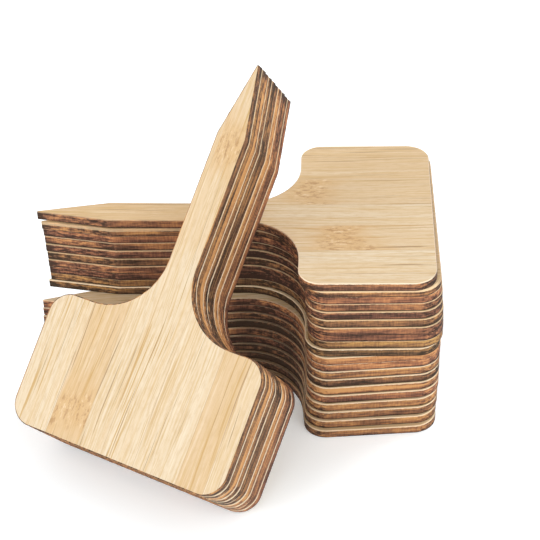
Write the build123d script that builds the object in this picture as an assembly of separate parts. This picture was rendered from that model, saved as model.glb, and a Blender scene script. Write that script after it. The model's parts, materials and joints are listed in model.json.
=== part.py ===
from build123d import *
from math import cos, radians, sin, tan
import os

# One label, laser-cut from bamboo sheet: a broad head to write on, which flares out of a flat
# spike that goes into the soil
HEAD_WIDTH = 60.0
HEAD_DEPTH = 33.5
LABEL_LENGTH = 100.0
SPIKE_WIDTH = 7.9
POINT_LENGTH = 18.3
TIP_WIDTH = 0.5
END_CORNER_RADIUS = 6.0
SHOULDER_RADIUS = 5.6
NECK_RADIUS = 15.5
THICKNESS = 2.27

# The air that the labels' rough faces keep between them
AIR_GAP = 0.04

# How the labels of the lower bundle lie against its lowest one, from that one up: slid towards the
# head's end, slid away from the viewer, and turned
LOWER_ALONG = (0.0, 0.1, 0.3, 0.35, 0.55, 0.6, 0.7, 0.8, 0.95, 1.1)
LOWER_ACROSS = (0.0, 1.05, 1.75, 2.25, 2.75, 3.15, 3.45, 3.7, 3.85, 3.55)
LOWER_TURN = (0.0, 0.2, 0.5, 0.65, 0.9, 0.95, 0.85, 0.7, 0.5, 0.2)

# The upper bundle lies askew on the lower one. Its labels, from its lowest one up, against its top one
UPPER_SHIFT_X = 1.45
UPPER_SHIFT_Y = 2.6
UPPER_ASKEW = -4.7
UPPER_ALONG = (1.0, 1.6, 1.6, 1.55, 1.5, 1.25, 1.2, 1.05, 0.85, 0.0)
UPPER_ACROSS = (0.7, 1.05, 0.85, 0.4, 0.6, 0.8, 1.1, 1.0, 0.6, 0.0)
UPPER_TURN = (0.75, 0.9, 0.95, 0.85, 0.85, 0.85, 0.85, 0.75, 0.65, 0.0)

# The leaning bundle stands on the end edge of its back label, with its spike against the upper
# bundle's spike, just beyond the neck. Each label in front of the back one has stayed higher up.
LEAN_SLOPE = 43.9
LEAN_HEADING = 29.1
CROSSING_BEYOND_NECK = 1.95
LEAN_CLEARANCE = 0.14
LEAN_STAGGER = 0.225
LEAN_SLIP = 0.12
LEAN_SLIP_STEP = 4.19

LABELS_IN_BUNDLE = len(LOWER_ALONG)
PITCH = THICKNESS + AIR_GAP
BUNDLE_HEIGHT = LABELS_IN_BUNDLE * PITCH


def cut_label():
    """One label lying flat: end edge on the X axis, spike along +Y, thickness from 0 up."""
    half_head = HEAD_WIDTH / 2
    half_spike = SPIKE_WIDTH / 2
    half_tip = TIP_WIDTH / 2
    right_side = [
        (half_head, 0, END_CORNER_RADIUS),
        (half_head, HEAD_DEPTH, SHOULDER_RADIUS),
        (half_spike, HEAD_DEPTH, NECK_RADIUS),
        (half_spike, LABEL_LENGTH - POINT_LENGTH, 0),
        (half_tip, LABEL_LENGTH, 0),
    ]
    left_side = [(-x, y, radius) for x, y, radius in reversed(right_side)]
    corners = right_side + left_side
    outline = FilletPolyline(
        *[(x, y) for x, y, _ in corners],
        radius=[radius for _, _, radius in corners],
        close=True,
    )
    return extrude(make_face(outline), amount=THICKNESS)


def lying(height, along, across, turn):
    """A label on its face, turned about the middle of its head, with its spike along -X."""
    return Pos(along, across, height) * Rot(0, 0, turn) * Pos(HEAD_DEPTH / 2, 0, 0) * Rot(0, 0, 90)


def lower_place(steps):
    """The lowest label sets the lower bundle and lies with the middle of its head at the origin."""
    return lying(steps * PITCH, LOWER_ALONG[steps], LOWER_ACROSS[steps], LOWER_TURN[steps])


def upper_frame():
    return Pos(UPPER_SHIFT_X, UPPER_SHIFT_Y, BUNDLE_HEIGHT) * Rot(0, 0, UPPER_ASKEW)


def upper_place(steps):
    """The top label sets the upper bundle."""
    return upper_frame() * lying(steps * PITCH, UPPER_ALONG[steps], UPPER_ACROSS[steps], UPPER_TURN[steps])


def leaning_frame():
    """The end edge of the back label's back face, from the point where the two spikes cross."""
    slope = radians(LEAN_SLOPE)
    heading = radians(LEAN_HEADING)
    half_spike = SPIKE_WIDTH / 2
    contact_height = 2 * BUNDLE_HEIGHT - AIR_GAP
    run = contact_height / tan(slope)
    crossing_x = -(HEAD_DEPTH / 2 + NECK_RADIUS + CROSSING_BEYOND_NECK)
    crossing_y = -half_spike - LEAN_CLEARANCE
    foot_x = crossing_x + half_spike * cos(heading) - run * sin(heading)
    foot_y = crossing_y - half_spike * sin(heading) - run * cos(heading)
    foot = Pos(foot_x, foot_y, -BUNDLE_HEIGHT)
    return upper_frame() * foot * Rot(0, 0, -LEAN_HEADING) * Rot(LEAN_SLOPE, 0, 0)


def leaning_place(steps):
    """The back label sets the leaning bundle, and the others lie on its face."""
    across = LEAN_SLIP * sin(LEAN_SLIP_STEP * steps)
    return leaning_frame() * Pos(across, steps * LEAN_STAGGER, steps * PITCH)


label = cut_label()
os.makedirs("parts", exist_ok=True)
for number in range(1, LABELS_IN_BUNDLE + 1):
    places = {
        "lower": lower_place(number - 1),
        "upper": upper_place(number - 1),
        "leaning": leaning_place(number - 1),
    }
    for bundle, place in places.items():
        export_step(place * label, f"parts/{bundle}_label_{number:02d}.step")
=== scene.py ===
import bpy
import json
import math
import numpy as np
from mathutils import Matrix, Vector


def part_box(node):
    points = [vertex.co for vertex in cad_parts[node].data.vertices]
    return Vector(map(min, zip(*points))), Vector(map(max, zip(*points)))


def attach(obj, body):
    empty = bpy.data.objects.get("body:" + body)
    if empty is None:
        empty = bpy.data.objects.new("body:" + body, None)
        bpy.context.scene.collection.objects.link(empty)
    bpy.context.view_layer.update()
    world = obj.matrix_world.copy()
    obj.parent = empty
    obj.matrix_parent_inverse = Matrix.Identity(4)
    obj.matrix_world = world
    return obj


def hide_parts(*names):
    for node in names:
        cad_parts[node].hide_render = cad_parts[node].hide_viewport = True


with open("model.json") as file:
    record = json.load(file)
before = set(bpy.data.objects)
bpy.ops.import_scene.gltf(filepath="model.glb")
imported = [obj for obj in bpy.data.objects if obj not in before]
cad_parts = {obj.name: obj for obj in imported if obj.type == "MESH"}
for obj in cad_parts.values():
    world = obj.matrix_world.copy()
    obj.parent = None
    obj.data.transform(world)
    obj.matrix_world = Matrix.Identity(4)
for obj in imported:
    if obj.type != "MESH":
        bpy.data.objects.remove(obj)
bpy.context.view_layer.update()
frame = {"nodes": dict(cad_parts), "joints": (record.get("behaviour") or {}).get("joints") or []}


# Lower bundle: ten labels lying face to face on the table. Each is one piece of thin bamboo sheet, which
# is glued up edge to edge from strips of cane. A laser cuts the outline and burns the cut edge brown to
# black; sanding the faces afterwards rounds the arrises and leaves them pale.
low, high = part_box("lower_label_01")
LABEL_LENGTH = high.x - low.x
HEAD_WIDTH = high.y - low.y
HEAD_DEPTH = 2 * high.x
THICKNESS = high.z - low.z
SPIKE_WIDTH = 0.0079
POINT_LENGTH = 0.0183
TIP_WIDTH = 0.0005
END_CORNER_RADIUS = 0.0060
SHOULDER_RADIUS = 0.0056
NECK_RADIUS = 0.0155
NECK_END = HEAD_DEPTH + NECK_RADIUS
MM_PER_M = 1000.0


def add_node(tree, kind, inputs=None, **settings):
    """Adds a node with these settings; each input, by name or number, takes a value or a socket."""
    made = tree.nodes.new(kind)
    for name, value in settings.items():
        setattr(made, name, value)
    for name, value in (inputs or {}).items():
        if isinstance(value, bpy.types.NodeSocket):
            tree.links.new(value, made.inputs[name])
        else:
            made.inputs[name].default_value = value
    return made


def calc(tree, operation, *values):
    """The result of a Math node on numbers or sockets."""
    return add_node(tree, "ShaderNodeMath", dict(enumerate(values)), operation=operation).outputs[0]


def calc_vector(tree, operation, *values, result="Vector"):
    """The result of a Vector Math node on vectors or sockets."""
    made = add_node(tree, "ShaderNodeVectorMath", dict(enumerate(values)), operation=operation)
    return made.outputs[result]


def scaled(tree, vector, factor):
    """A vector times a number."""
    made = add_node(tree, "ShaderNodeVectorMath", {0: vector, "Scale": factor}, operation="SCALE")
    return made.outputs["Vector"]


def joined(tree, x, y, z):
    """A vector out of three numbers."""
    return add_node(tree, "ShaderNodeCombineXYZ", {0: x, 1: y, 2: z}).outputs[0]


def apart(tree, vector):
    """The three numbers of a vector, by the names X, Y and Z."""
    return add_node(tree, "ShaderNodeSeparateXYZ", {0: vector}).outputs


def ramp(tree, value, low, high, start=0.0, end=1.0):
    """Goes smoothly from start to end while the value goes from low to high."""
    limits = {"Value": value, "From Min": low, "From Max": high, "To Min": start, "To Max": end}
    return add_node(tree, "ShaderNodeMapRange", limits, interpolation_type="SMOOTHSTEP").outputs["Result"]


def noise(tree, place, per_mm, detail=2.0, roughness=0.5):
    """Noise from 0 to 1 over a place in millimetres, so many grains to the millimetre along each axis."""
    stretched = calc_vector(tree, "MULTIPLY", place, per_mm)
    settings = {"Vector": stretched, "Scale": 1.0, "Detail": detail, "Roughness": roughness}
    return add_node(tree, "ShaderNodeTexNoise", settings).outputs[0]


def mix(tree, share, first, second, blend="MIX"):
    """Two colours mixed; share is how much of the second shows."""
    settings = {"Factor": share, 6: first, 7: second}
    return add_node(tree, "ShaderNodeMix", settings, data_type="RGBA", blend_type=blend).outputs[2]


def carried(tree, name):
    """The vector that a label's mesh carries under a name."""
    return add_node(tree, "ShaderNodeAttribute", attribute_name=name).outputs["Vector"]


def new_group(name, kind, inputs, outputs):
    """A node group with these sockets, and the sockets that its own nodes read the inputs from."""
    tree = bpy.data.node_groups.new(name, kind)
    for socket, socket_kind in inputs.items():
        tree.interface.new_socket(socket, in_out="INPUT", socket_type=socket_kind)
    for socket, socket_kind in outputs.items():
        tree.interface.new_socket(socket, in_out="OUTPUT", socket_type=socket_kind)
    return tree, add_node(tree, "NodeGroupInput").outputs


# Bamboo as it shows on a sanded face, over a place on the sheet in millimetres, cane along Y. The sheet's
# strips are pale or tan by chance, and some have more streaks than others.
STRIP_WIDTH_MM = 9.0
PALE_STRIP = (0.655, 0.55, 0.40, 1)
TAN_STRIP = (0.59, 0.425, 0.25, 1)
TAN_CHANCE = (0.40, 0.70)
TAN_SHARE = 0.80
FEWEST_STREAKS = 0.35
WAVER_PER_MM = (0.05, 0.025, 0.05)
WAVER_SPAN = (0.2, 0.8)
WAVER_MM = 0.5
SEAM_MM = (0.14, 0.04)
SEAM_SHARE = 0.40
SEAM_GLUE = (0.36, 0.20, 0.08, 1)

# Layers of the grain, each laid over those before it: grains to the millimetre across and along the cane,
# detail and roughness of the noise, the noise values between which the layer comes in, its share, its colour
GRAIN_LAYERS = {
    "drift": (0.45, 0.008, 3.0, 0.6, (0.42, 0.66), 0.42, (0.60, 0.42, 0.22, 1)),
    "light": (1.1, 0.020, 1.0, 0.5, (0.56, 0.70), 0.28, (0.75, 0.65, 0.50, 1)),
    "flecks": (2.0, 0.40, 3.0, 0.65, (0.42, 0.68), 0.32, (0.48, 0.31, 0.145, 1)),
    "fibres": (3.2, 0.06, 3.0, 0.6, (0.47, 0.66), 0.48, (0.50, 0.32, 0.12, 1)),
    "streaks": (1.6, 0.028, 2.0, 0.6, (0.59, 0.65), 0.85, (0.46, 0.28, 0.09, 1)),
    "dark_lines": (2.4, 0.030, 1.0, 0.5, (0.67, 0.73), 0.75, (0.28, 0.17, 0.07, 1)),
}


def strips(tree, across, **settings):
    """The node that splits the sheet into strips, read at a place across it."""
    count = calc(tree, "DIVIDE", across, STRIP_WIDTH_MM)
    inputs = {"W": count, "Scale": 1.0}
    return add_node(tree, "ShaderNodeTexVoronoi", inputs, voronoi_dimensions="1D", **settings).outputs


def strip_of(tree, across):
    """Three chance numbers for the strip of cane that a place across the sheet lies in."""
    return add_node(tree, "ShaderNodeSeparateColor", {0: strips(tree, across)["Color"]}).outputs


grain, given = new_group(
    "bamboo_grain",
    "ShaderNodeTree",
    {"Place": "NodeSocketVector", "Tone": "NodeSocketFloat"},
    {"Color": "NodeSocketColor", "Height": "NodeSocketFloat", "Strip": "NodeSocketFloat"},
)
across_sheet = apart(grain, given["Place"])["X"]
tan_chance, strip_number, streak_chance = strip_of(grain, across_sheet)
waver = noise(grain, given["Place"], WAVER_PER_MM, detail=1.0)
waver = ramp(grain, waver, *WAVER_SPAN, -WAVER_MM, WAVER_MM)
cane_place = calc_vector(grain, "ADD", given["Place"], joined(grain, waver, 0.0, 0.0))
strip_tone = calc(grain, "MULTIPLY_ADD", ramp(grain, tan_chance, *TAN_CHANCE), TAN_SHARE, given["Tone"])
colour = mix(grain, strip_tone, PALE_STRIP, TAN_STRIP)
grain_noise = {}
for layer, (across, along, detail, roughness, limits, share, stain) in GRAIN_LAYERS.items():
    grain_noise[layer] = noise(grain, cane_place, (across, along, across), detail, roughness)
    stained = ramp(grain, grain_noise[layer], *limits, 0.0, share)
    if layer == "streaks":
        stained = calc(grain, "MULTIPLY", stained, ramp(grain, streak_chance, 0.0, 1.0, FEWEST_STREAKS, 1.0))
    colour = mix(grain, stained, colour, stain)
to_seam = strips(grain, across_sheet, feature="DISTANCE_TO_EDGE")["Distance"]
to_seam = calc(grain, "MULTIPLY", to_seam, STRIP_WIDTH_MM)
colour = mix(grain, ramp(grain, to_seam, *SEAM_MM, 0.0, SEAM_SHARE), colour, SEAM_GLUE)
add_node(grain, "NodeGroupOutput", {"Color": colour, "Height": grain_noise["fibres"], "Strip": strip_number})

# Sanded face of a label
face_finish = bpy.data.materials.new("bamboo_face")
face_finish.use_nodes = True
face_tree = face_finish.node_tree
face_shader = face_tree.nodes["Principled BSDF"]
face_place = carried(face_tree, "label_place")
face_tone_and_shade = apart(face_tree, carried(face_tree, "label_make"))["Y"]
face_grain = add_node(face_tree, "ShaderNodeGroup", {0: face_place, 1: face_tone_and_shade}, node_tree=grain)
face_colour = face_grain.outputs["Color"]

# A knuckle of the cane crosses one strip: a tanned patch with frayed dark dashes and pale scratches
KNUCKLES = ("knuckle_1", "knuckle_2", "knuckle_3")
KNUCKLE_BOW_PER_MM = 0.06
WANDER_PER_MM = (0.4, 0.2, 0.4)
WANDER_SPAN = (0.2, 0.8)
WANDER_MM = 2.0
FRAY_PER_MM = (1.5, 0.45, 1.5)
TANNED_MM = (10.0, 1.0)
TANNED_SHARE = 0.70
TANNED = (0.56, 0.36, 0.17, 1)
FRAYED_MM = (6.0, 1.0)
DASH_LIMITS = (0.52, 0.62)
DASH_SHARE = 0.62
DASH = (0.32, 0.17, 0.065, 1)
SCRATCH_LIMITS = (0.43, 0.35)
SCRATCH_SHARE = 0.42
SCRATCH = (0.78, 0.65, 0.46, 1)
SAME_STRIP = 0.001
frayed = noise(face_tree, face_place, FRAY_PER_MM, detail=3.0, roughness=0.65)
dash_here = ramp(face_tree, frayed, *DASH_LIMITS, 0.0, DASH_SHARE)
scratch_here = ramp(face_tree, frayed, *SCRATCH_LIMITS, 0.0, SCRATCH_SHARE)
wander = noise(face_tree, face_place, WANDER_PER_MM)
wander = ramp(face_tree, wander, *WANDER_SPAN, -WANDER_MM, WANDER_MM)
for knuckle in KNUCKLES:
    offset = apart(face_tree, carried(face_tree, knuckle))
    knuckle_strip = strip_of(face_tree, offset["Z"])[1]
    own_strip = calc(face_tree, "COMPARE", knuckle_strip, face_grain.outputs["Strip"], SAME_STRIP)
    bow = calc(face_tree, "MULTIPLY", offset["X"], offset["X"])
    past = calc(face_tree, "MULTIPLY_ADD", bow, KNUCKLE_BOW_PER_MM, offset["Y"])
    past = calc(face_tree, "ABSOLUTE", calc(face_tree, "ADD", past, wander))
    tanned = calc(face_tree, "MULTIPLY", own_strip, ramp(face_tree, past, *TANNED_MM, 0.0, TANNED_SHARE))
    face_colour = mix(face_tree, tanned, face_colour, TANNED)
    close = calc(face_tree, "MULTIPLY", own_strip, ramp(face_tree, past, *FRAYED_MM))
    face_colour = mix(face_tree, calc(face_tree, "MULTIPLY", close, dash_here), face_colour, DASH)
    face_colour = mix(face_tree, calc(face_tree, "MULTIPLY", close, scratch_here), face_colour, SCRATCH)

# Smoke of the cut has browned the face beside the neck, and painted shade darkens it there too, where the
# leaning bundle shades the neck.
NECK_CENTRE_X = SPIKE_WIDTH / 2 + NECK_RADIUS
SMOKE_AND_SHADE_REACH_MM = (1.6, 0.3)
SMOKE_AND_SHADE_ASIDE_MM = (2.0, 8.0)
SMOKE_AND_SHADE_BELOW_MM = (-1.0, 2.0)
SMOKE_AND_SHADE_BROWN = (0.13, 0.07, 0.04, 1)
own_x, own_y, smoke_and_shade = apart(face_tree, carried(face_tree, "label_own"))
aside = calc(face_tree, "SUBTRACT", NECK_CENTRE_X * MM_PER_M, calc(face_tree, "ABSOLUTE", own_x))
below = calc(face_tree, "SUBTRACT", NECK_END * MM_PER_M, own_y)
from_centre = calc_vector(face_tree, "LENGTH", joined(face_tree, aside, below, 0.0), result="Value")
from_cut = calc(face_tree, "SUBTRACT", from_centre, NECK_RADIUS * MM_PER_M)
smoked_and_shaded = calc(face_tree, "MULTIPLY", smoke_and_shade, ramp(face_tree, from_cut, *SMOKE_AND_SHADE_REACH_MM))
smoked_and_shaded = calc(face_tree, "MULTIPLY", smoked_and_shaded, ramp(face_tree, aside, *SMOKE_AND_SHADE_ASIDE_MM))
smoked_and_shaded = calc(face_tree, "MULTIPLY", smoked_and_shaded, ramp(face_tree, below, *SMOKE_AND_SHADE_BELOW_MM))
face_colour = mix(face_tree, smoked_and_shaded, face_colour, SMOKE_AND_SHADE_BROWN)
face_relief = {"Height": face_grain.outputs["Height"], "Strength": 0.15, "Distance": 0.0001}
face_bump = add_node(face_tree, "ShaderNodeBump", face_relief)
face_tree.links.new(face_colour, face_shader.inputs["Base Color"])
face_tree.links.new(face_bump.outputs["Normal"], face_shader.inputs["Normal"])
face_shader.inputs["Roughness"].default_value = 0.6
face_shader.inputs["Specular IOR Level"].default_value = 0.3

# Laser-cut edge of a label: burnt in bands along the cane, with specks of charred fibre ends where the cut
# runs across it. The front arris is sanded pale. Towards the back face the edge darkens, partly from burning
# and partly as painted shade, darkest at the back arris in the crease against the next label.
BURNT_COLOURS = [
    (0.00, (0.60, 0.31, 0.115, 1)),
    (0.25, (0.42, 0.195, 0.076, 1)),
    (0.50, (0.25, 0.113, 0.055, 1)),
    (0.75, (0.12, 0.057, 0.033, 1)),
    (1.00, (0.046, 0.024, 0.013, 1)),
]
YELLOW_TINT = (0.90, 1.04, 0.88, 1)
RED_TINT = (1.04, 0.92, 1.04, 1)
PALE_RIM = (0.86, 0.71, 0.52, 1)
TAN_RIM = (0.84, 0.60, 0.34, 1)

# How uneven the burn is: grains to the millimetre along the edge and through the sheet, detail and roughness
# of the noise, and how far the burn goes up and down
BURN_LAYERS = {
    "patches": (0.09, 0.3, 1.0, 0.5, 0.12),
    "bands": (0.07, 1.1, 2.0, 0.5, 0.22),
    "lines": (0.35, 4.5, 2.0, 0.6, 0.18),
    "comb": (2.2, 0.5, 2.0, 0.5, 0.09),
}
BURN_SPAN = (0.3, 0.7)
SPECKS_PER_MM = (1.0, 0.40, 1.6)
SPECK_SPAN = (0.36, 0.64)
SPECK_BURN = (-0.26, 0.36)
SPECKS_ACROSS_CANE = (0.05, 0.22)
BURN_AND_SHADE_PER_MM_FORWARD = -0.12
BACK_ARRIS_MM = (0.45, 0.10)
BACK_ARRIS_BURN_AND_SHADE = 0.50
RAGGED_PER_MM = (1.3, 1.3, 0.2)
RAGGED_SPAN = (0.25, 0.75)
RAGGED_MM = 0.05
edge_finish = bpy.data.materials.new("bamboo_burnt_edge")
edge_finish.use_nodes = True
edge_tree = edge_finish.node_tree
edge_shader = edge_tree.nodes["Principled BSDF"]
edge_place = carried(edge_tree, "label_place")
edge_z = apart(edge_tree, edge_place)["Z"]
rim_depth, edge_tone_and_shade, across_cane = apart(edge_tree, carried(edge_tree, "label_make"))
darkness, redness, rim_shown = apart(edge_tree, carried(edge_tree, "label_burn"))
burn_noise = {}
for layer, (along, through, detail, roughness, swing) in BURN_LAYERS.items():
    burn_noise[layer] = noise(edge_tree, edge_place, (along, along, through), detail, roughness)
    darkness = calc(edge_tree, "ADD", darkness, ramp(edge_tree, burn_noise[layer], *BURN_SPAN, -swing, swing))
specks = noise(edge_tree, edge_place, SPECKS_PER_MM, detail=3.0, roughness=0.65)
specks = ramp(edge_tree, specks, *SPECK_SPAN, *SPECK_BURN)
darkness = calc(edge_tree, "MULTIPLY_ADD", specks, ramp(edge_tree, across_cane, *SPECKS_ACROSS_CANE), darkness)
# Painted shade as well as char: the wall darkens towards the back face, most of all at the back arris.
darkness = calc(edge_tree, "MULTIPLY_ADD", edge_z, BURN_AND_SHADE_PER_MM_FORWARD, darkness)
from_back = calc(edge_tree, "ADD", edge_z, THICKNESS * MM_PER_M / 2)
darkness = calc(edge_tree, "ADD", darkness, ramp(edge_tree, from_back, *BACK_ARRIS_MM, 0.0, BACK_ARRIS_BURN_AND_SHADE))
burnt = add_node(edge_tree, "ShaderNodeValToRGB", {0: darkness})
while len(burnt.color_ramp.elements) < len(BURNT_COLOURS):
    burnt.color_ramp.elements.new(0.5)
for element, (position, value) in zip(burnt.color_ramp.elements, BURNT_COLOURS):
    element.position = position
    element.color = value
tint = mix(edge_tree, redness, YELLOW_TINT, RED_TINT)
edge_colour = mix(edge_tree, 1.0, burnt.outputs["Color"], tint, "MULTIPLY")
from_front = calc(edge_tree, "SUBTRACT", THICKNESS * MM_PER_M / 2, edge_z)
ragged = noise(edge_tree, edge_place, RAGGED_PER_MM)
ragged = ramp(edge_tree, ragged, *RAGGED_SPAN, -RAGGED_MM, RAGGED_MM)
from_front = calc(edge_tree, "ADD", from_front, ragged)
below_rim = calc(edge_tree, "SUBTRACT", from_front, rim_depth)
# The pale sanded rim, dulled where painted shade lies in the neck and on the spike.
sanded = calc(edge_tree, "MULTIPLY", ramp(edge_tree, below_rim, RAGGED_MM, -RAGGED_MM), rim_shown)
edge_colour = mix(edge_tree, sanded, edge_colour, mix(edge_tree, edge_tone_and_shade, PALE_RIM, TAN_RIM))
edge_relief = {"Height": burn_noise["lines"], "Strength": 0.4, "Distance": 0.0002}
edge_bump = add_node(edge_tree, "ShaderNodeBump", edge_relief)
edge_tree.links.new(edge_colour, edge_shader.inputs["Base Color"])
edge_tree.links.new(edge_bump.outputs["Normal"], edge_shader.inputs["Normal"])
edge_shader.inputs["Roughness"].default_value = 0.75
edge_shader.inputs["Specular IOR Level"].default_value = 0.25

# The cut itself: a closed outline with its corner radii becomes a board with rounded arrises
CUT_SIZES = ("Thickness", "Head Depth", "Neck End", "Length", "Charred Length", "Tip Lift")
CUT_EDGE_SIZES = ("Arris", "Rim Width", "Spacing", "Unevenness")
CUT_BURNS = ("Burn", "Redness", "Neck Burn And Shade", "Smoke And Shade")
CUT_RIMS = ("Sanded Rim", "Shaded Spike Rim", "End Rim", "Rim Depth")
CUT_TONES = ("Tone", "Spike Tone And Shade")
CUT_PLACES = ("Sheet Place", *KNUCKLES)
CORNER_POINTS = 20
SECTION_POINTS = 15
AT_FACE = 0.99
MERGE_DISTANCE = 0.0000005
LUMPS_PER_MM = (0.9, 0.9, 0.25)
cut, asked = new_group(
    "cut_label",
    "GeometryNodeTree",
    {
        "Outline": "NodeSocketGeometry",
        **{name: "NodeSocketFloat" for name in CUT_SIZES + CUT_EDGE_SIZES + CUT_BURNS + CUT_RIMS + CUT_TONES},
        **{name: "NodeSocketVector" for name in CUT_PLACES},
    },
    {"Label": "NodeSocketGeometry"},
)


def shifted(geometry, offset):
    """Geometry with its points moved by an offset."""
    return add_node(cut, "GeometryNodeSetPosition", {"Geometry": geometry, "Offset": offset}).outputs[0]


def marked(geometry, name, value, kind="FLOAT_VECTOR", domain="POINT"):
    """Geometry that carries a value under a name."""
    inputs = {"Geometry": geometry, "Name": name, "Value": value}
    return add_node(cut, "GeometryNodeStoreNamedAttribute", inputs, data_type=kind, domain=domain).outputs[0]


def mark(name, kind="FLOAT_VECTOR"):
    """The value that the geometry carries under a name."""
    return add_node(cut, "GeometryNodeInputNamedAttribute", {"Name": name}, data_type=kind).outputs[0]


half_thickness = calc(cut, "MULTIPLY", asked["Thickness"], 0.5)
here = add_node(cut, "GeometryNodeInputPosition").outputs[0]
here_mm = scaled(cut, here, MM_PER_M)
sharp = add_node(cut, "GeometryNodeMeshToCurve", {"Mesh": asked["Outline"]}).outputs[0]
corner = {"Radius": mark("corner_radius", "FLOAT"), "Limit Radius": True, "Count": CORNER_POINTS}
rounded = add_node(cut, "GeometryNodeFilletCurve", {"Curve": sharp, **corner}, mode="POLY").outputs[0]
following = add_node(cut, "GeometryNodeOffsetPointInCurve", {"Offset": 1}).outputs["Point Index"]
there = add_node(
    cut,
    "GeometryNodeFieldAtIndex",
    {"Value": here, "Index": following},
    data_type="FLOAT_VECTOR",
    domain="POINT",
).outputs[0]
gap = calc_vector(cut, "DISTANCE", here, there, result="Value")
cuts = calc(cut, "FLOOR", calc(cut, "DIVIDE", gap, asked["Spacing"]))
fine = add_node(cut, "GeometryNodeSubdivideCurve", {"Curve": rounded, "Cuts": cuts}).outputs[0]
level = add_node(cut, "GeometryNodeSetCurveNormal", {"Curve": fine}, mode="Z_UP").outputs[0]
tangent = add_node(cut, "GeometryNodeInputTangent").outputs[0]
level = marked(level, "outward", calc_vector(cut, "CROSS_PRODUCT", tangent, (0, 0, 1)))
outward = mark("outward")

# Cross-section of the edge: straight, with a quarter round at each face and the narrow sanded rim beyond it
line = {"Start": (0, -1, 0), "End": (0, 1, 0)}
straight = add_node(cut, "GeometryNodeCurvePrimitiveLine", line).outputs[0]
section = add_node(cut, "GeometryNodeResampleCurve", {"Curve": straight, "Count": SECTION_POINTS}).outputs[0]
share = apart(cut, here)["Y"]
rise = calc(cut, "MULTIPLY", calc(cut, "SINE", calc(cut, "MULTIPLY", share, math.pi / 2)), half_thickness)
flat_part = calc(cut, "SUBTRACT", half_thickness, asked["Arris"])
over = calc(cut, "SUBTRACT", calc(cut, "ABSOLUTE", rise), flat_part)
turned = calc(cut, "DIVIDE", calc(cut, "MAXIMUM", over, 0.0), asked["Arris"])
reach = calc(cut, "SUBTRACT", 1.0, calc(cut, "POWER", turned, 2.0))
reach = calc(cut, "SQRT", calc(cut, "MAXIMUM", reach, 0.0))
inset = calc(cut, "MULTIPLY", calc(cut, "SUBTRACT", 1.0, reach), asked["Arris"])
at_face = calc(cut, "GREATER_THAN", calc(cut, "ABSOLUTE", share), AT_FACE)
inset = calc(cut, "MULTIPLY_ADD", at_face, asked["Rim Width"], inset)
section_place = joined(cut, calc(cut, "MULTIPLY", inset, -1.0), rise, 0.0)
section_inputs = {"Geometry": section, "Position": section_place}
section = add_node(cut, "GeometryNodeSetPosition", section_inputs).outputs[0]
wall = add_node(cut, "GeometryNodeCurveToMesh", {"Curve": level, "Profile Curve": section}).outputs[0]

# The burnt wall is slightly lumpy between its arrises
lumps = noise(cut, here_mm, LUMPS_PER_MM)
lumps = calc(cut, "MULTIPLY", calc(cut, "SUBTRACT", lumps, 0.5), asked["Unevenness"])
from_face = calc(cut, "SUBTRACT", half_thickness, calc(cut, "ABSOLUTE", apart(cut, here)["Z"]))
lumps = calc(cut, "MULTIPLY", lumps, ramp(cut, from_face, 0.0, asked["Arris"]))
wall = shifted(wall, scaled(cut, outward, lumps))
wall = marked(wall, "is_edge", True, "BOOLEAN", "FACE")
is_edge = mark("is_edge", "BOOLEAN")

# The two faces fill the outline, drawn in by the arris and the rim
drawn_in = calc(cut, "ADD", asked["Arris"], asked["Rim Width"])
rim = shifted(level, scaled(cut, outward, calc(cut, "MULTIPLY", drawn_in, -1.0)))
filled = add_node(cut, "GeometryNodeFillCurve", {"Curve": rim}, mode="TRIANGLES").outputs[0]
raised = joined(cut, 0.0, 0.0, half_thickness)
front_face = shifted(filled, raised)
turned_over = add_node(cut, "GeometryNodeFlipFaces", {"Mesh": filled}).outputs[0]
back_face = shifted(turned_over, scaled(cut, raised, -1.0))
sides = add_node(cut, "GeometryNodeJoinGeometry")
for side in (front_face, back_face, wall):
    cut.links.new(side, sides.inputs[0])
merging = {"Geometry": sides.outputs[0], "Distance": MERGE_DISTANCE}
board = add_node(cut, "GeometryNodeMergeByDistance", merging).outputs[0]

# What the finishes read: the place on the sheet, and how this label was burnt and sanded there, with painted
# shade in the neck, on the spike's rim and along the spike. The tip is charred, and the end edge, which faces
# against Y, is burnt more than the sides. The spike comes in between two shares of the head's depth, and the
# neck fades out at a share of where it ends.
SPIKE_FROM = 0.92
SPIKE_FULL = 1.1
NECK_FADE = 1.15
CHARRED_BURN = 0.45
END_FACING = (-0.70, -0.97)
END_BURN = 0.28
place = calc_vector(cut, "ADD", here_mm, asked["Sheet Place"])
facing = apart(cut, outward)["Y"]
along_label = apart(cut, here)["Y"]
spike_from = calc(cut, "MULTIPLY", asked["Head Depth"], SPIKE_FROM)
on_spike = ramp(cut, along_label, spike_from, calc(cut, "MULTIPLY", asked["Head Depth"], SPIKE_FULL))
past_neck = ramp(cut, along_label, asked["Neck End"], calc(cut, "MULTIPLY", asked["Neck End"], NECK_FADE))
in_neck = calc(cut, "SUBTRACT", on_spike, past_neck)
# The neck's wall is darker by a share of its own: partly burn, partly painted shade where the leaning bundle
# shades the neck.
burn_and_shade_here = calc(cut, "MULTIPLY_ADD", in_neck, asked["Neck Burn And Shade"], asked["Burn"])
charred_from = calc(cut, "SUBTRACT", asked["Length"], asked["Charred Length"])
charred = ramp(cut, along_label, charred_from, asked["Length"], 0.0, CHARRED_BURN)
burn_and_shade_here = calc(cut, "ADD", burn_and_shade_here, charred)
burn_and_shade_here = calc(cut, "ADD", burn_and_shade_here, ramp(cut, facing, *END_FACING, 0.0, END_BURN))
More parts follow.
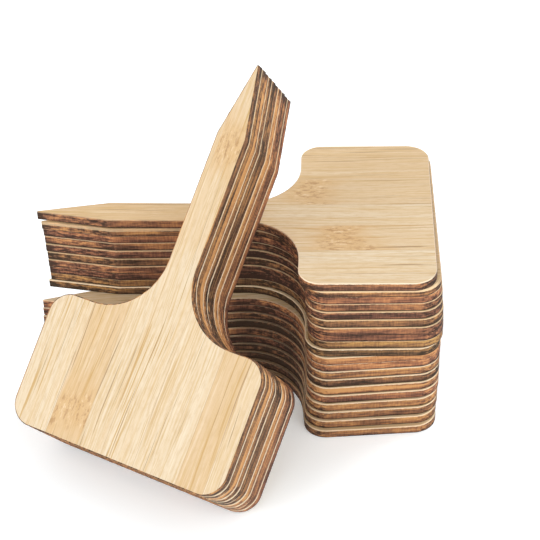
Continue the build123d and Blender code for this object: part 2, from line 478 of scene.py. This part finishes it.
# The sanded rim shows less on the spike: painted shade where the spike's edge turns from the light.
rim_lost_to_shade = calc(cut, "MULTIPLY", on_spike, calc(cut, "SUBTRACT", asked["Sanded Rim"], asked["Shaded Spike Rim"]))
rim_here = calc(cut, "SUBTRACT", asked["Sanded Rim"], rim_lost_to_shade)
# Smoke and painted shade in the neck dull the sanded rim there.
clear_of_smoke_and_shade = calc(cut, "SUBTRACT", 1.0, calc(cut, "MULTIPLY", in_neck, asked["Smoke And Shade"]))
rim_here = calc(cut, "MULTIPLY", rim_here, clear_of_smoke_and_shade)
rim_here = ramp(cut, facing, *reversed(END_FACING), asked["End Rim"], rim_here)
# The spike past the neck is tanner by a share of its own: painted shade, deepest on the top label's spike,
# which lies in the leaning bundle's shade.
tone_and_shade_here = calc(cut, "MULTIPLY_ADD", past_neck, asked["Spike Tone And Shade"], asked["Tone"])
own = apart(cut, here_mm)
read_by_finishes = {
    "label_place": place,
    "label_make": joined(cut, asked["Rim Depth"], tone_and_shade_here, calc(cut, "ABSOLUTE", facing)),
    "label_burn": joined(cut, burn_and_shade_here, asked["Redness"], rim_here),
    "label_own": joined(cut, own["X"], own["Y"], asked["Smoke And Shade"]),
}
for knuckle in KNUCKLES:
    from_knuckle = apart(cut, calc_vector(cut, "SUBTRACT", here_mm, asked[knuckle]))
    on_sheet = apart(cut, calc_vector(cut, "ADD", asked[knuckle], asked["Sheet Place"]))
    read_by_finishes[knuckle] = joined(cut, from_knuckle["X"], from_knuckle["Y"], on_sheet["X"])
for name, value in read_by_finishes.items():
    board = marked(board, name, value)
bend = ramp(cut, along_label, asked["Neck End"], asked["Length"])
board = shifted(board, joined(cut, 0.0, 0.0, calc(cut, "MULTIPLY", bend, asked["Tip Lift"])))
is_face = add_node(cut, "FunctionNodeBooleanMath", {0: is_edge}, operation="NOT").outputs[0]
shading = {"Geometry": board, "Selection": is_face, "Shade Smooth": False}
board = add_node(cut, "GeometryNodeSetShadeSmooth", shading).outputs[0]
board = add_node(cut, "GeometryNodeRealizeInstances", {"Geometry": board}).outputs[0]
board = add_node(cut, "GeometryNodeSetMaterial", {"Geometry": board, "Material": face_finish}).outputs[0]
edge_inputs = {"Geometry": board, "Selection": is_edge, "Material": edge_finish}
board = add_node(cut, "GeometryNodeSetMaterial", edge_inputs).outputs[0]
add_node(cut, "NodeGroupOutput", {"Label": board})
cut_inputs = {item.name: item.identifier for item in cut.interface.items_tree if item.in_out == "INPUT"}

# The outline, from the tip down the left side, with the radius that each corner is rounded to
half_head = HEAD_WIDTH / 2
half_spike = SPIKE_WIDTH / 2
left_side = [
    (-TIP_WIDTH / 2, LABEL_LENGTH, TIP_WIDTH / 2),
    (-half_spike, LABEL_LENGTH - POINT_LENGTH, 0.0),
    (-half_spike, HEAD_DEPTH, NECK_RADIUS),
    (-half_head, HEAD_DEPTH, SHOULDER_RADIUS),
    (-half_head, 0.0, END_CORNER_RADIUS),
]
corners = left_side + [(-x, y, corner_radius) for x, y, corner_radius in reversed(left_side)]
outline = bpy.data.meshes.new("label_outline")
outline.from_pydata(
    [(x, y, 0.0) for x, y, _ in corners],
    [(i, (i + 1) % len(corners)) for i in range(len(corners))],
    [],
)
radii = outline.attributes.new("corner_radius", "FLOAT", "POINT")
radii.data.foreach_set("value", [corner_radius for _, _, corner_radius in corners])

# What every label has, unless its bundle or the label itself has something else. Sizes are in metres. The
# sheet's and the knuckles' places are in millimetres, a knuckle's from the middle of the end edge, and so is
# the rim's depth. Burns, rims, smoke and tones are shares; those of the neck's burn, the smoke, the spike's
# rim and the spike's tone carry painted shade too.
NO_KNUCKLE = (0.0, -900.0, 0.0)
LABEL_MAKE = {
    "Thickness": THICKNESS,
    "Head Depth": HEAD_DEPTH,
    "Neck End": NECK_END,
    "Length": LABEL_LENGTH,
    "Charred Length": 0.003,
    "Tip Lift": 0.0,
    "Arris": 0.00016,
    "Rim Width": 0.00007,
    "Spacing": 0.0006,
    "Unevenness": 0.00018,
    "Neck Burn And Shade": 0.0,
    "Smoke And Shade": 0.0,
    "Spike Tone And Shade": 0.0,
    **{knuckle: NO_KNUCKLE for knuckle in KNUCKLES},
}
SHEET_STEP_X = 61.0
SHEET_STEP_Y = 37.0
UPWARDS = (0, 0, 1)


def label_frame(node, front):
    """Where a label lies: origin in the middle of its end edge, Y to the tip, Z out of its front face."""
    points = np.unique(np.round([v.co for v in frame["nodes"][node].data.vertices], 6), axis=0)
    middle = points.mean(axis=0)
    distance = np.linalg.norm(points - middle, axis=1)
    tip = points[distance > distance.max() - TIP_WIDTH].mean(axis=0)
    along = (points - middle) @ (tip - middle) / np.linalg.norm(tip - middle)
    foot = points[along < along.min() + TIP_WIDTH / 2].mean(axis=0)
    y_axis = Vector(tip - foot).normalized()
    x_axis = y_axis.cross(Vector(front)).normalized()
    z_axis = x_axis.cross(y_axis)
    turn = Matrix((x_axis, y_axis, z_axis)).transposed().to_4x4()
    return Matrix.Translation(Vector(foot)) @ turn


def lay_label(node, front, make):
    """Cuts one label, puts it where its CAD node is and lets it stand for that node."""
    piece = bpy.data.objects.new(node.replace("label", "board"), outline)
    bpy.context.scene.collection.objects.link(piece)
    modifier = piece.modifiers.new("cut", "NODES")
    modifier.node_group = cut
    for name, value in {**LABEL_MAKE, **make}.items():
        modifier[cut_inputs[name]] = value
    graph = bpy.context.evaluated_depsgraph_get()
    shaped = piece.evaluated_get(graph)
    mesh = bpy.data.meshes.new_from_object(shaped, preserve_all_data_layers=True, depsgraph=graph)
    # The bare outline has no finish, which leaves an empty first slot
    mesh.materials.pop(index=0)
    piece.modifiers.clear()
    piece.data = mesh
    mesh.transform(label_frame(node, front))
    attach(piece, node)
    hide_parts(node)


def lay_bundle(bundle, front, sheet_start, burns, rednesses, make, singled_out):
    """Lays a bundle's labels, each from its own place on the sheet; some, by number, are made otherwise."""
    start_x, start_y = sheet_start
    for number, (darkness, redness) in enumerate(zip(burns, rednesses), 1):
        sheet_place = (start_x + SHEET_STEP_X * number, start_y + SHEET_STEP_Y * number, 0.0)
        own_make = {"Sheet Place": sheet_place, "Burn": darkness, "Redness": redness}
        own_make = {**make, **own_make, **singled_out.get(number, {})}
        lay_label(f"{bundle}_label_{number:02d}", front, own_make)


LOWER_SHEET_START = (0.0, 0.0)
LOWER_BURN = [0.45, 0.49, 0.45, 0.35, 0.49, 0.15, 0.69, 0.35, 0.41, 0.16]
LOWER_REDNESS = [0.55, 0.55, 0.55, 0.55, 0.9, 0.65, 0.45, 0.55, 0.9, 0.8]
LOWER_MAKE = {
    "Neck Burn And Shade": 0.50,
    "Smoke And Shade": 0.7,
    "Sanded Rim": 1.0,
    "Shaded Spike Rim": 0.6,
    "End Rim": 0.6,
    "Rim Depth": 0.20,
    "Tone": 0.45,
}
HIGHEST_MAKE = {"Smoke And Shade": 0.0, "Tone": 0.6}
LOWER_SINGLED_OUT = {10: HIGHEST_MAKE}
lay_bundle(
    "lower", UPWARDS, LOWER_SHEET_START, LOWER_BURN, LOWER_REDNESS, LOWER_MAKE, LOWER_SINGLED_OUT
)


# Upper bundle: ten more labels, put down askew on the lower bundle. The spike of the top label has
# warped and stands a little clear of the one below it.
UPPER_SHEET_START = (700.0, 400.0)
UPPER_BURN = [0.75, 0.50, 0.66, 0.56, 0.62, 0.70, 0.58, 0.48, 0.48, 0.56]
UPPER_REDNESS = [0.1, 0.2, 0.9, 0.8, 0.4, 0.9, 0.7, 0.9, 0.5, 0.7]
UPPER_MAKE = {
    "Neck Burn And Shade": 0.20,
    "Sanded Rim": 0.8,
    "Shaded Spike Rim": 0.5,
    "End Rim": 0.6,
    "Rim Depth": 0.18,
    "Tone": 0.9,
}
LOWEST_MAKE = {"Sanded Rim": 1.0, "Shaded Spike Rim": 0.9, "Rim Depth": 0.22, "Tone": 0.4}
BENEATH_TOP_MAKE = {"Sanded Rim": 0.9, "End Rim": 0.4, "Rim Depth": 0.80}
TOP_MAKE = {
    "Sheet Place": (3912.5, 640.0, 0.0),
    "knuckle_1": (8.6, 31.0, 0.0),
    "knuckle_2": (-6.8, 22.2, 0.0),
    "knuckle_3": (-14.7, 25.2, 0.0),
    "Tip Lift": 0.0005,
    "Sanded Rim": 1.0,
    "Shaded Spike Rim": 0.25,
    "End Rim": 0.2,
    "Rim Depth": 0.17,
    "Tone": 0.06,
    "Spike Tone And Shade": 0.86,
}
UPPER_SINGLED_OUT = {1: LOWEST_MAKE, 9: BENEATH_TOP_MAKE, 10: TOP_MAKE}
lay_bundle(
    "upper", UPWARDS, UPPER_SHEET_START, UPPER_BURN, UPPER_REDNESS, UPPER_MAKE, UPPER_SINGLED_OUT
)


# Leaning bundle: ten labels stood on their end edges, heads down, leaning back with their spikes
# across the upper bundle. Only the front label's face shows, and its edge is burnt right up to the face.
LEANING_SHEET_START = (1400.0, 800.0)
LEANING_BURN = [0.50, 0.50, 0.40, 0.08, 0.62, 0.70, 0.52, 0.06, 0.52, 0.64]
LEANING_REDNESS = [0.9, 0.7, 0.7, 0.6, 0.4, 0.3, 0.4, 0.6, 0.3, 0.4]
LEANING_MAKE = {
    "Sanded Rim": 0.9,
    "Shaded Spike Rim": 0.85,
    "End Rim": 0.0,
    "Rim Depth": 0.18,
    "Tone": 0.15,
    "Spike Tone And Shade": 0.40,
}
FRONT_MAKE = {
    "Sheet Place": (9469.0, 860.0, 0.0),
    "knuckle_1": (-12.5, 8.4, 0.0),
    "knuckle_2": (-0.7, 79.7, 0.0),
    "Sanded Rim": 0.0,
    "Shaded Spike Rim": 0.0,
    "Rim Depth": 0.0,
}
LEANING_SINGLED_OUT = {10: FRONT_MAKE}
# Its labels face the way that they lift off each other
lean_front = next(joint["axis"] for joint in frame["joints"] if joint["child"] == "leaning_label_01")
lay_bundle(
    "leaning",
    lean_front,
    LEANING_SHEET_START,
    LEANING_BURN,
    LEANING_REDNESS,
    LEANING_MAKE,
    LEANING_SINGLED_OUT,
)


# Studio floor: a wide, flat white sheet that the set stands on. It glows a little, so that the shadow under
# the set stays as pale as in the photograph.
FLOOR_REACH = 4.0
FLOOR_WHITE = (0.91, 0.95, 0.975, 1)
FLOOR_GLOW = (1, 0.99, 0.96, 1)
FLOOR_GLOW_STRENGTH = 0.225
floor_mesh = bpy.data.meshes.new("floor")
floor_corners = [(-1, -1), (1, -1), (1, 1), (-1, 1)]
floor_mesh.from_pydata([(FLOOR_REACH * x, FLOOR_REACH * y, 0) for x, y in floor_corners], [], [(0, 1, 2, 3)])
floor = bpy.data.objects.new("floor", floor_mesh)
bpy.context.scene.collection.objects.link(floor)
floor_finish = bpy.data.materials.new("studio_white")
floor_finish.use_nodes = True
floor_shader = floor_finish.node_tree.nodes["Principled BSDF"]
floor_shader.inputs["Base Color"].default_value = FLOOR_WHITE
floor_shader.inputs["Roughness"].default_value = 0.9
floor_shader.inputs["Specular IOR Level"].default_value = 0.1
floor_shader.inputs["Emission Color"].default_value = FLOOR_GLOW
floor_shader.inputs["Emission Strength"].default_value = FLOOR_GLOW_STRENGTH
floor_mesh.materials.append(floor_finish)


# Studio light: a white tent all round, brightest low down, and four large soft lamps. The strongest stands
# behind on the right and one stands low on the left; two weaker ones fill from the front.
TENT_WHITE = (1, 1, 1, 1)
TENT_STRENGTH = 0.6
TENT_FOOT_STRENGTH = 1.1
TENT_FOOT_HEIGHTS = (0.10, 0.25)
LAMP_AIM = Vector((-0.03, -0.01, 0.03))
LAMP_DISTANCE = 3.4
LAMP_SIZE = 2.35
# Each lamp's angle round the set from the front, its angle above the floor, and its power in watts
LAMPS = {
    "back_right": (135.8, 35.3, 70.6),
    "low_left": (-69.0, 19.7, 58.4),
    "front_left": (-34.3, 42.7, 29.6),
    "front_right": (37.5, 41.5, 28.3),
}


def seen_from(around, above):
    """The direction from the set to an angle round it from the front and an angle above the floor."""
    around = math.radians(around)
    above = math.radians(above)
    level_out = math.cos(above)
    return Vector((math.sin(around) * level_out, -math.cos(around) * level_out, math.sin(above)))


world = bpy.data.worlds.new("studio")
bpy.context.scene.world = world
world.use_nodes = True
tent_tree = world.node_tree
tent = tent_tree.nodes["Background"]
skyward = apart(tent_tree, add_node(tent_tree, "ShaderNodeTexCoord").outputs["Generated"])["Z"]
tent_light = ramp(tent_tree, skyward, *TENT_FOOT_HEIGHTS, TENT_FOOT_STRENGTH, TENT_STRENGTH)
tent_tree.links.new(tent_light, tent.inputs["Strength"])
tent.inputs["Color"].default_value = TENT_WHITE
for name, (around, above, power) in LAMPS.items():
    towards = seen_from(around, above)
    lamp_data = bpy.data.lights.new(name, "AREA")
    lamp_data.size = LAMP_SIZE
    lamp_data.energy = power
    lamp = bpy.data.objects.new(name, lamp_data)
    lamp.location = LAMP_AIM + LAMP_DISTANCE * towards
    lamp.rotation_euler = (-towards).to_track_quat("-Z", "Y").to_euler()
    lamp.visible_camera = False
    bpy.context.scene.collection.objects.link(lamp)


# Camera: a long lens that looks down on the set, square to the flat bundles' long side.
CAMERA_PLACE = Vector((-0.03553, -0.35942, 0.30269))
CAMERA_AROUND = -1.9345
CAMERA_ABOVE = 37.0445
CAMERA_ROLL = math.radians(-1.9054)
camera_data = bpy.data.cameras.new("camera")
camera_data.sensor_width = 36.0
camera_data.lens = 117.79
camera_data.clip_start = 0.01
camera = bpy.data.objects.new("camera", camera_data)
bpy.context.scene.collection.objects.link(camera)
back = seen_from(CAMERA_AROUND, CAMERA_ABOVE)
right = (-back).cross(Vector((0, 0, 1))).normalized()
up = right.cross(-back)
rolled_right = math.cos(CAMERA_ROLL) * right + math.sin(CAMERA_ROLL) * up
rolled_up = math.cos(CAMERA_ROLL) * up - math.sin(CAMERA_ROLL) * right
turn = Matrix((rolled_right, rolled_up, back)).transposed().to_4x4()
camera.matrix_world = Matrix.Translation(CAMERA_PLACE) @ turn
bpy.context.scene.camera = camera
bpy.context.scene.view_settings.view_transform = "Standard"
